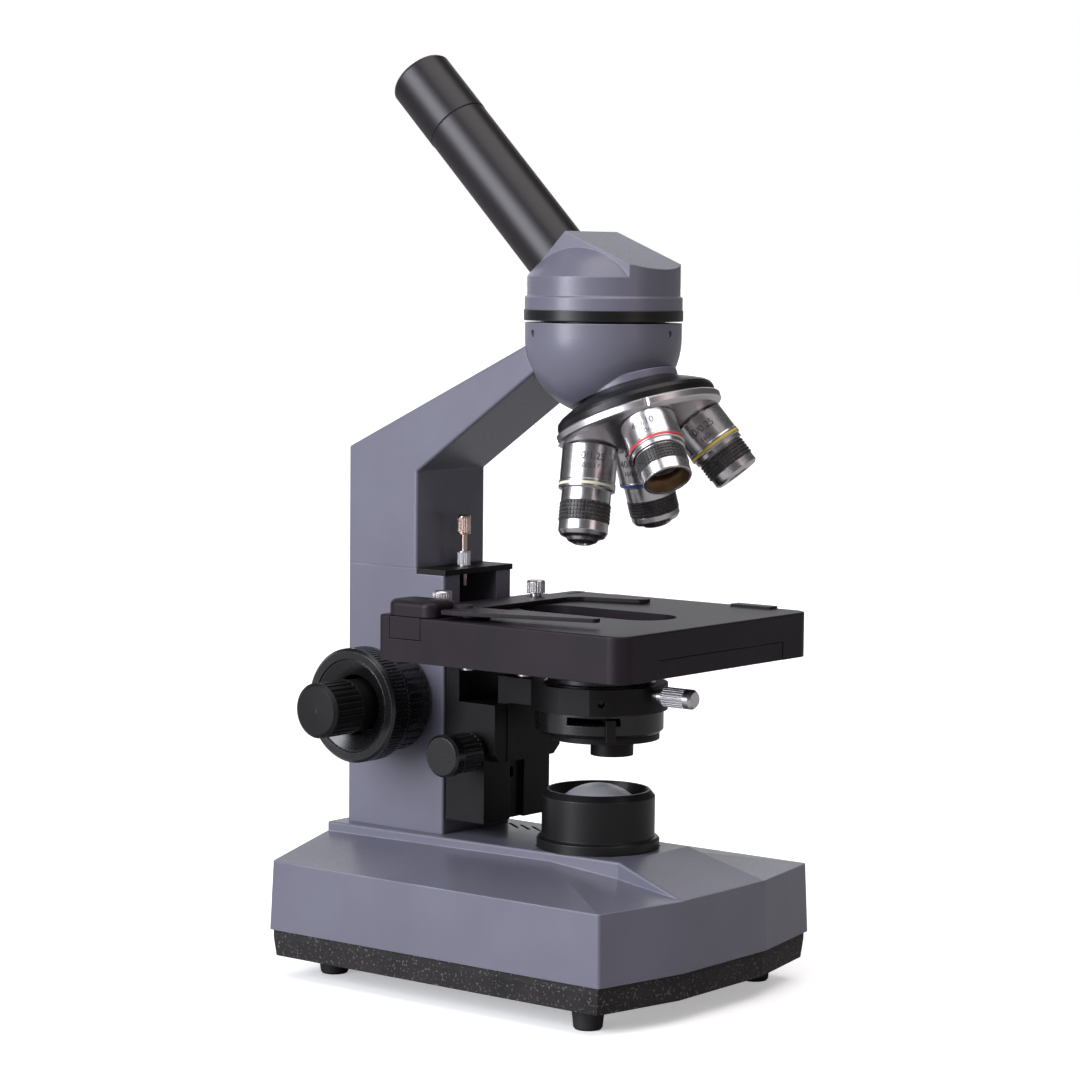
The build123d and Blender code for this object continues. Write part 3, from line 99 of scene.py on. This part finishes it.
def finish(
    name,
    dark,
    light,
    roughness,
    metallic=0.0,
    patch=60.0,
    grain=2500.0,
    bump=0.05,
    stretch=(1, 1, 1),
    edge_wear_and_highlight=None,
    edge_radius=0.5,
    coat=0.0,
    specks=None,
    gloss=0.5,
    coat_roughness=0.15,
):
    """A painted, moulded or machined finish.

    The colour is patchy between dark and light, the gloss uneven and the bump fine. An edge colour
    shows along rounded edges, partly as wear and partly as a painted highlight, and specks is the colour
    and scale of scattered flecks.
    """
    material = bpy.data.materials.new(name)
    material.use_nodes = True
    tree = material.node_tree
    shader = tree.nodes["Principled BSDF"]
    coordinates = tree.nodes.new("ShaderNodeTexCoord").outputs["Object"]
    patches = noise(tree, coordinates, patch, 5.0, stretch)
    fine = noise(tree, coordinates, grain, 2.0, stretch)
    colour = blend_colours(tree, spread(tree, patches, 0, 1), dark, light)
    if specks:
        fleck_colour, fleck_scale = specks
        flecks = noise(tree, coordinates, fleck_scale, 1.0)
        colour = blend_colours(tree, spread(tree, flecks, 0, 1, *FLECK_EDGES), colour, fleck_colour)
    bevel = tree.nodes.new("ShaderNodeBevel")
    bevel.samples = 4
    bevel.inputs["Radius"].default_value = edge_radius * MM
    # edges get their own colour, partly wear and partly a painted highlight, where the bevelled normal
    # turns from the true one
    if edge_wear_and_highlight:
        geometry = tree.nodes.new("ShaderNodeNewGeometry")
        turn = tree.nodes.new("ShaderNodeVectorMath")
        turn.operation = "DOT_PRODUCT"
        link(tree, bevel.outputs["Normal"], turn.inputs[0])
        link(tree, geometry.outputs["Normal"], turn.inputs[1])
        edge_wear_and_highlight_mask = spread(tree, turn.outputs["Value"], 1, 0, *EDGE_WEAR_AND_HIGHLIGHT_NORMALS)
        patchy_edge_wear_and_highlight = tree.nodes.new("ShaderNodeMath")
        patchy_edge_wear_and_highlight.operation = "MULTIPLY"
        link(tree, edge_wear_and_highlight_mask, patchy_edge_wear_and_highlight.inputs[0])
        link(tree, spread(tree, patches, LEAST_EDGE_WEAR_AND_HIGHLIGHT, 1, *EDGE_WEAR_AND_HIGHLIGHT_PATCHES), patchy_edge_wear_and_highlight.inputs[1])
        colour = blend_colours(tree, patchy_edge_wear_and_highlight.outputs["Value"], colour, edge_wear_and_highlight)
    link(tree, colour, shader.inputs["Base Color"])
    link(tree, spread(tree, fine, roughness[0], roughness[1]), shader.inputs["Roughness"])
    relief = tree.nodes.new("ShaderNodeBump")
    relief.inputs["Strength"].default_value = bump
    relief.inputs["Distance"].default_value = BUMP_DEPTH
    link(tree, fine, relief.inputs["Height"])
    link(tree, bevel.outputs["Normal"], relief.inputs["Normal"])
    link(tree, relief.outputs["Normal"], shader.inputs["Normal"])
    shader.inputs["Metallic"].default_value = metallic
    shader.inputs["Specular IOR Level"].default_value = gloss
    shader.inputs["Coat Weight"].default_value = coat
    shader.inputs["Coat Roughness"].default_value = coat_roughness
    return material


def glass(name, tint, roughness, density=0.0):
    """Clear or frosted glass with a faint tint; density is the share of light it doesn't let through."""
    material = finish(name, tint, tuple(0.94 * part for part in tint), roughness, bump=0.01)
    shader = material.node_tree.nodes["Principled BSDF"]
    shader.inputs["Transmission Weight"].default_value = 1.0 - density
    shader.inputs["IOR"].default_value = 1.5
    return material


# the edge colours of these finishes are partly wear and partly a painted highlight on rounded edges
paint = finish(
    "blue_grey_paint", (0.122, 0.120, 0.157), (0.140, 0.138, 0.180), (0.28, 0.40),
    patch=30, grain=1100, bump=0.12, edge_wear_and_highlight=(0.30, 0.30, 0.36), edge_radius=0.8, coat=0.1,
)
stage_black = finish(
    "stage_black", (0.010, 0.0065, 0.0095), (0.015, 0.010, 0.0145), (0.36, 0.50),
    gloss=0.2, patch=45, grain=2400, bump=0.16, edge_wear_and_highlight=(0.06, 0.05, 0.058), edge_radius=0.4,
)
casting_black = finish(
    "casting_black", (0.005, 0.004, 0.004), (0.009, 0.0075, 0.008), (0.36, 0.52),
    gloss=0.2, patch=70, grain=1500, bump=0.2, edge_wear_and_highlight=(0.05, 0.045, 0.048), edge_radius=0.4,
)
tube_black = finish(
    "tube_black", (0.006, 0.004, 0.0055), (0.010, 0.007, 0.0095), (0.34, 0.42),
    patch=50, grain=3000, bump=0.05, edge_wear_and_highlight=(0.08, 0.07, 0.08), edge_radius=0.3, gloss=0.42,
)
gloss_black = finish(
    "gloss_black", (0.005, 0.0045, 0.0048), (0.009, 0.008, 0.0085), (0.28, 0.36),
    patch=40, grain=1800, bump=0.02, edge_wear_and_highlight=(0.08, 0.075, 0.075), edge_radius=0.4,
    gloss=0.3, coat=0.05, coat_roughness=0.3,
)
knob_plastic = finish(
    "knob_plastic", (0.003, 0.0025, 0.0025), (0.006, 0.005, 0.005), (0.40, 0.55),
    gloss=0.25, patch=90, grain=2600, bump=0.15, edge_wear_and_highlight=(0.05, 0.045, 0.045), edge_radius=0.25,
)
knob_gloss = finish(
    "knob_gloss", (0.004, 0.0035, 0.004), (0.007, 0.006, 0.0065), (0.22, 0.30),
    gloss=0.5, patch=90, grain=2200, bump=0.04, edge_wear_and_highlight=(0.08, 0.075, 0.08), edge_radius=0.35, coat=0.1,
)
plate_plastic = finish(
    "plate_plastic", (0.010, 0.0085, 0.009), (0.022, 0.019, 0.020), (0.50, 0.70),
    gloss=0.3, patch=60, grain=1300, bump=0.5, specks=((0.10, 0.09, 0.09), 900.0),
)
rubber = finish(
    "foot_rubber", (0.008, 0.008, 0.008), (0.016, 0.015, 0.015), (0.60, 0.80),
    patch=80, grain=1600, bump=0.3,
)
chrome = finish(
    "chrome", (0.62, 0.60, 0.61), (0.70, 0.68, 0.69), (0.28, 0.34),
    metallic=1.0, patch=60, grain=2200, bump=0.008, edge_wear_and_highlight=(0.9, 0.9, 0.9), edge_radius=0.2,
)
satin_chrome = finish(
    "satin_chrome", (0.58, 0.56, 0.57), (0.66, 0.64, 0.65), (0.22, 0.28),
    metallic=1.0, patch=60, grain=2600, bump=0.01, stretch=(1, 1, 6),
    edge_wear_and_highlight=(0.85, 0.85, 0.85), edge_radius=0.2,
)
steel = finish(
    "machined_steel", (0.42, 0.41, 0.40), (0.55, 0.54, 0.53), (0.28, 0.42),
    metallic=1.0, patch=120, grain=1800, bump=0.06, stretch=(1, 1, 4),
)
brass = finish(
    "brass", (0.48, 0.34, 0.20), (0.62, 0.46, 0.28), (0.24, 0.38),
    metallic=1.0, patch=110, grain=1900, bump=0.05,
)
copper_pin = finish(
    "copper_pin", (0.50, 0.36, 0.30), (0.70, 0.56, 0.50), (0.16, 0.28),
    metallic=1.0, patch=120, grain=2100, bump=0.03,
)
lens_glass = glass("lens_glass", (0.86, 0.88, 0.92), (0.02, 0.05))
frosted_glass = glass("frosted_glass", (0.80, 0.80, 0.84), (0.28, 0.42), 0.35)
lamp_white = finish(
    "lamp_white", (0.70, 0.66, 0.50), (0.85, 0.82, 0.68), (0.30, 0.45), patch=150, grain=1500, bump=0.05,
)

looks = {
    paint: ["base_shell", "lower_column", "upper_arm", "head_bowl", "head_housing"],
    stage_black: ["stage_top", "stage_lower_plate", "slider_bar", "holder_plate",
                  "slider_end_block", "spring_finger", "control_housing"],
    casting_black: ["stage_carriage", "condenser_slide", "condenser_holder", "filter_holder",
                    "iris_lever", "shelf_plate"],
    tube_black: ["eyepiece_tube", "eyepiece"],
    gloss_black: ["nosepiece_cover", "head_ring", "illuminator_housing"],
    knob_gloss: ["coarse_knob_left", "coarse_knob_right", "condenser_knob", "condenser_body"],
    knob_plastic: ["fine_knob_left", "fine_knob_right", "y_knob", "x_knob", "brightness_dial",
                   "power_switch", "power_inlet", "objective_grips"],
    plate_plastic: ["base_plate"],
    rubber: ["rubber_feet"],
    chrome: ["nosepiece_turret", "holder_thumbscrews", "condenser_clamp_screw", "stop_nut"],
    satin_chrome: ["objective_100x", "objective_4x", "objective_10x", "objective_40x"],
    steel: ["base_screws", "coarse_shaft", "fine_shaft", "stage_screws", "head_lock_screws",
            "nosepiece_axle"],
    brass: ["focus_guide", "focus_rack"],
    copper_pin: ["stop_screw"],
    lens_glass: ["condenser_lens", "objective_lenses", "prism", "eyepiece_lenses"],
    frosted_glass: ["collector_lens"],
    lamp_white: ["led_lamp"],
}
for material, names in looks.items():
    for name in names:
        mesh = nodes[name].data
        mesh.materials.clear()
        mesh.materials.append(material)

# ---------------------------------------------------------------- camera
# the camera's place in metres and its directions, all in the part's own frame
position = Vector((-1.00377, -0.76319, 0.28671))
forward = Vector((0.78151, 0.61801, -0.08551))
right = Vector((0.62086, -0.78387, 0.00901))
up = right.cross(forward)
camera_data = bpy.data.cameras.new("camera")
camera_data.lens = 107.56
camera_data.sensor_width = 36.0
camera = bpy.data.objects.new("camera", camera_data)
facing = Matrix((right, up, -forward)).transposed().to_4x4()
camera.matrix_world = Matrix.Translation(position) @ facing
bpy.context.scene.collection.objects.link(camera)
bpy.context.scene.camera = camera
bpy.context.scene.view_settings.view_transform = "Standard"

# ---------------------------------------------------------------- floor, light and surroundings
centre = Vector((0, 0.02, 0.18))  # the lights aim here, at the middle of the object
OTHER_RAYS_WORLD = 0.10  # world strength for light; the camera sees a plain white background
FLOOR_REACH = 30.0
FLOOR_BOUNCE = (0.40, 0.40, 0.40, 1)  # floor colour for light; the camera sees the paler finish
FLOOR_GLOW = 0.38  # lifts the floor that the camera sees towards white


def area_light(name, side, height, near, width, tall, power, colour):
    """A soft panel aimed at the object; side and near are measured along the camera's view."""
    light_data = bpy.data.lights.new(name, "AREA")
    light_data.shape = "RECTANGLE"
    light_data.size = width
    light_data.size_y = tall
    light_data.energy = power
    light_data.color = colour
    light = bpy.data.objects.new(name, light_data)
    place = centre + right * side + Vector((0, 0, height)) - forward * near
    light.location = place
    light.rotation_mode = "QUATERNION"
    light.rotation_quaternion = (centre - place).to_track_quat("-Z", "Y")
    bpy.context.scene.collection.objects.link(light)


area_light(
    "key", side=-1.2, height=0.35, near=0.75, width=0.55, tall=1.3, power=15, colour=(0.90, 0.92, 1.0)
)
area_light(
    "fill", side=0.95, height=0.35, near=1.0, width=0.5, tall=0.9, power=1.8, colour=(1.0, 0.85, 0.83)
)


def sun_light(name, source, strength, softness, colour):
    """Even light over object and floor from a direction."""
    light_data = bpy.data.lights.new(name, "SUN")
    light_data.energy = strength
    light_data.angle = math.radians(softness)
    light_data.color = colour
    light = bpy.data.objects.new(name, light_data)
    light.rotation_mode = "QUATERNION"
    light.rotation_quaternion = (-Vector(source)).to_track_quat("-Z", "Y")
    bpy.context.scene.collection.objects.link(light)


sun_light("overhead", (-0.05, -0.22, 1.0), strength=1.9, softness=60, colour=(1.0, 0.96, 0.97))
sun_light("rear", (0.8, 0.9, 0.4), strength=0.6, softness=60, colour=(0.95, 0.97, 1.0))
sun_light("side", (-1.0, 0.25, 0.35), strength=2.4, softness=50, colour=(0.90, 0.92, 1.0))

world = bpy.data.worlds.new("studio")
bpy.context.scene.world = world
world.use_nodes = True
background = world.node_tree.nodes["Background"]
background.inputs["Color"].default_value = (1, 1, 1, 1)
path = world.node_tree.nodes.new("ShaderNodeLightPath")
level = world.node_tree.nodes.new("ShaderNodeMapRange")
level.inputs["To Min"].default_value = OTHER_RAYS_WORLD
level.inputs["To Max"].default_value = 1.0
link(world.node_tree, path.outputs["Is Camera Ray"], level.inputs["Value"])
link(world.node_tree, level.outputs["Result"], background.inputs["Strength"])


def floor_material():
    """A plain pale floor that gives the object less bounced light than its own brightness would."""
    pale = finish(
        "pale_floor", (0.92, 0.92, 0.92), (0.95, 0.95, 0.95), (0.7, 0.8),
        gloss=0.0, patch=3, grain=300, bump=0.0,
    )
    tree = pale.node_tree
    white = tree.nodes["Principled BSDF"]
    white.inputs["Emission Color"].default_value = (1, 1, 1, 1)
    white.inputs["Emission Strength"].default_value = FLOOR_GLOW
    bounce = tree.nodes.new("ShaderNodeBsdfDiffuse")
    bounce.inputs["Color"].default_value = FLOOR_BOUNCE
    chooser = tree.nodes.new("ShaderNodeMixShader")
    seen = tree.nodes.new("ShaderNodeLightPath")
    link(tree, seen.outputs["Is Camera Ray"], chooser.inputs["Fac"])
    link(tree, bounce.outputs["BSDF"], chooser.inputs[1])
    link(tree, white.outputs["BSDF"], chooser.inputs[2])
    link(tree, chooser.outputs["Shader"], tree.nodes["Material Output"].inputs["Surface"])
    return pale


floor_mesh = bpy.data.meshes.new("floor")
floor_corners = [(x * FLOOR_REACH, y * FLOOR_REACH, 0) for x, y in ((-1, -1), (1, -1), (1, 1), (-1, 1))]
floor_mesh.from_pydata(floor_corners, [], [(0, 1, 2, 3)])
floor = bpy.data.objects.new("floor", floor_mesh)
bpy.context.scene.collection.objects.link(floor)
floor_mesh.materials.append(floor_material())

# ---------------------------------------------------------------- pieces made here
print_black = finish(
    "print_black", (0.012, 0.012, 0.014), (0.022, 0.022, 0.026), (0.45, 0.6),
    patch=200, grain=2000, bump=0.03,
)
tick_white = finish(
    "tick_white", (0.62, 0.61, 0.58), (0.78, 0.77, 0.74), (0.5, 0.65), patch=300, grain=2000, bump=0.05
)
bronze_liner = finish(
    "bronze_liner", (0.10, 0.055, 0.020), (0.20, 0.115, 0.045), (0.30, 0.45),
    metallic=0.6, patch=150, grain=1500, bump=0.1,
)
SINK = 0.05  # millimetres that a raised pad goes into the band below it
PAD_GAP = 0.1  # share of a pad's cell left clear on each side
PAD_SHRINK = 0.38  # how far a pad's top corners move in towards its middle
PRINT_DEPTH = 0.02  # millimetres that printed figures stand up, each way


def piece(name, builder, material, body, smooth=True):
    """Turn a bmesh into a shown piece that rides on a body."""
    mesh = bpy.data.meshes.new(name)
    bmesh.ops.recalc_face_normals(builder, faces=builder.faces)
    builder.to_mesh(mesh)
    builder.free()
    mesh.polygons.foreach_set("use_smooth", [smooth] * len(mesh.polygons))
    mesh.materials.append(material)
    made = bpy.data.objects.new(name, mesh)
    bpy.context.scene.collection.objects.link(made)
    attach(made, body)
    return made


class Seat:
    """A turned part's own frame: an origin, an axis and a radial direction."""

    def __init__(self, origin, axis, towards):
        self.origin = Vector(origin)
        self.axis = Vector(axis).normalized()
        flat = Vector(towards) - self.axis * self.axis.dot(Vector(towards))
        self.radial = flat.normalized()
        self.side = self.axis.cross(self.radial)

    def point(self, radius, along, angle):
        """A point in metres from millimetres and radians."""
        around = self.radial * math.cos(angle) + self.side * math.sin(angle)
        return self.origin + (self.axis * along + around * radius) * MM


def lathe(builder, seat, profile, steps=96):
    """Turn a closed (radius, along) outline about a seat's axis."""
    rings = []
    for radius, along in profile:
        turned = [seat.point(radius, along, 2 * math.pi * k / steps) for k in range(steps)]
        rings.append([builder.verts.new(place) for place in turned])
    for first, second in zip(rings, rings[1:] + rings[:1]):
        for k in range(steps):
            builder.faces.new((first[k], first[(k + 1) % steps], second[(k + 1) % steps], second[k]))


def knurl(builder, seat, root, crest, low, high, columns, rows):
    """Square pads raised round a grip, in rows, over a plain band."""
    step = 2 * math.pi / columns
    height = (high - low) / rows
    for row in range(rows):
        bottom = low + (row + PAD_GAP) * height
        top = low + (row + 1 - PAD_GAP) * height
        middle = (bottom + top) / 2
        for column in range(columns):
            start, end = step * (column + PAD_GAP), step * (column + 1 - PAD_GAP)
            middle_angle = (start + end) / 2
            foot = [(start, bottom), (end, bottom), (end, top), (start, top)]
            crown = [
                (angle + (middle_angle - angle) * PAD_SHRINK, along + (middle - along) * PAD_SHRINK)
                for angle, along in foot
            ]
            lower = [builder.verts.new(seat.point(root - SINK, along, angle)) for angle, along in foot]
            upper = [builder.verts.new(seat.point(crest, along, angle)) for angle, along in crown]
            builder.faces.new(upper)
            for k in range(4):
                builder.faces.new((lower[k], lower[(k + 1) % 4], upper[(k + 1) % 4], upper[k]))
            builder.faces.new(lower[::-1])


def lettering(name, words, seat, radius, along, size, angle, material, body):
    """Printed figures wrapped round a barrel; their tops point against the axis."""
    curve = bpy.data.curves.new(name + "_font", "FONT")
    curve.body = words
    curve.size = size * MM
    curve.align_x = "CENTER"
    curve.align_y = "CENTER"
    curve.extrude = PRINT_DEPTH * MM
    source = bpy.data.objects.new(name + "_font", curve)
    bpy.context.scene.collection.objects.link(source)
    depsgraph = bpy.context.evaluated_depsgraph_get()
    mesh = bpy.data.meshes.new_from_object(source.evaluated_get(depsgraph))
    bpy.data.objects.remove(source)
    builder = bmesh.new()
    builder.from_mesh(mesh)
    for vertex in builder.verts:
        x, y, z = (part / MM for part in vertex.co)
        vertex.co = seat.point(radius + z, along - y, angle - x / radius)
    return piece(name, builder, material, body, smooth=False)


turret = joints["nosepiece_turn"]
turret_axis = Vector(turret["axis"])
apex = Vector(turret["pos_m"])
turret_side = Vector((1, 0, 0))
turret_up = turret_axis.cross(turret_side)
NOSE_TILT = math.radians(21.0)  # between the turret's axis and each objective's
REST_TURN = -43.3  # degrees that the turret stands from a click at rest
SEAT_DISTANCE = 59.6  # millimetres from the apex, where the axes meet, to an objective's seat
BARREL_PRINT = 10.82  # radius that the figures stand on
RING_INNER, RING_OUTER, RING_WIDE = 10.7, 11.04, 1.1
GRIP_INNER, GRIP_OUTER, GRIP_CREST = 9.25, 9.5, 9.95
KNURL_INSET, KNURL_COLUMNS, KNURL_ROWS = 0.15, 44, 5
LINER_FROM, LINER_TO = 15.0, 25.9  # from the seat, and radii at those two places
LINER_OUTER, LINER_INNER = (7.4, 8.25), (7.2, 8.1)

# click is in quarter turns, grips and bands in millimetres from the seat, print_turn in radians
Objective = namedtuple(
    "Objective", "click grip_low grip_high power tube_length band_at print_turn band_dark band_light"
)
objectives = {
    "100x": Objective(
        0, 21.6, 29.4, "100/1.25", "160/0.17", 14.6, 0.05, (0.70, 0.66, 0.50), (0.80, 0.77, 0.62)
    ),
    "4x": Objective(
        -1, 15.2, 21.6, "4/0.10", "160/-", 11.3, 0.2, (0.50, 0.025, 0.030), (0.62, 0.045, 0.050)
    ),
    "10x": Objective(
        2, 15.8, 22.8, "10/0.25", "160/-", 11.8, 0.05, (0.55, 0.42, 0.05), (0.68, 0.53, 0.08)
    ),
    "40x": Objective(
        1, 21.0, 27.6, "40/0.65", "160/0.17", 13.3, 0.4, (0.03, 0.10, 0.35), (0.05, 0.15, 0.45)
    ),
}
grip_builder = bmesh.new()
for name, lens in objectives.items():
    turn = math.radians(REST_TURN + 90 * lens.click - 90)
    radial = turret_side * math.cos(turn) + turret_up * math.sin(turn)
    aim = turret_axis * math.cos(NOSE_TILT) + radial * math.sin(NOSE_TILT)
    seat = Seat(apex + aim * SEAT_DISTANCE * MM, aim, position - apex)
    lathe(grip_builder, seat, [
        (GRIP_INNER, lens.grip_low), (GRIP_OUTER, lens.grip_low),
        (GRIP_OUTER, lens.grip_high), (GRIP_INNER, lens.grip_high),
    ])
    knurl(grip_builder, seat, GRIP_OUTER, GRIP_CREST, lens.grip_low + KNURL_INSET,
          lens.grip_high - KNURL_INSET, KNURL_COLUMNS, KNURL_ROWS)
    ring = bmesh.new()
    lathe(ring, seat, [
        (RING_INNER, lens.band_at), (RING_OUTER, lens.band_at),
        (RING_OUTER, lens.band_at + RING_WIDE), (RING_INNER, lens.band_at + RING_WIDE),
    ])
    band_material = finish(
        "band_" + name, lens.band_dark, lens.band_light, (0.3, 0.4), patch=200, grain=1500, bump=0.03
    )
    piece("band_" + name, ring, band_material, "nosepiece", smooth=False)
    for label, words, along, size in (
        ("figures_", lens.power, 4.8, 3.9),
        ("tube_length_", lens.tube_length, 8.7, 2.8),
    ):
        lettering(label + name, words, seat, BARREL_PRINT, along, size, lens.print_turn, print_black,
                  "nosepiece")
    if name == "4x":
        # the bronze lining of the 4x objective's open front
        liner = bmesh.new()
        lathe(liner, seat, [
            (LINER_OUTER[0], LINER_FROM), (LINER_OUTER[1], LINER_TO),
            (LINER_INNER[1], LINER_TO), (LINER_INNER[0], LINER_FROM),
        ])
        piece("liner_4x", liner, bronze_liner, "nosepiece")
# the light edge colour of the grip pads is partly wear and partly a painted highlight
grip_black = finish(
    "grip_black", (0.010, 0.009, 0.009), (0.018, 0.016, 0.016), (0.28, 0.40),
    patch=300, grain=3000, bump=0.05, edge_wear_and_highlight=(0.30, 0.28, 0.28), edge_radius=0.12,
)
grips = piece("knurled_grips", grip_builder, grip_black, "nosepiece", smooth=False)
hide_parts("objective_grips")

# a white index tick on the side of the left coarse knob, all in millimetres
KNOB_ORIGIN = Vector((-22.4, 88, 110))  # on the focusing axis
TICK_FROM, TICK_TO = 23.9, 25.0  # out along the axis from there
TICK_HALF = math.radians(1.6)
TICK_RADII = (22.9, 23.05)
knob_seat = Seat(KNOB_ORIGIN * MM, (-1, 0, 0), (0, 0, 1))
tick = bmesh.new()
outline = (
    (TICK_FROM, -TICK_HALF), (TICK_TO, -TICK_HALF), (TICK_TO, TICK_HALF), (TICK_FROM, TICK_HALF)
)
corners = [
    [tick.verts.new(knob_seat.point(radius, along, angle)) for along, angle in outline]
    for radius in TICK_RADII
]
tick.faces.new(corners[0][::-1])
tick.faces.new(corners[1])
for k in range(4):
    tick.faces.new((corners[0][k], corners[0][(k + 1) % 4], corners[1][(k + 1) % 4], corners[1][k]))
piece("coarse_index_tick", tick, tick_white, "coarse_knobs", smooth=False)
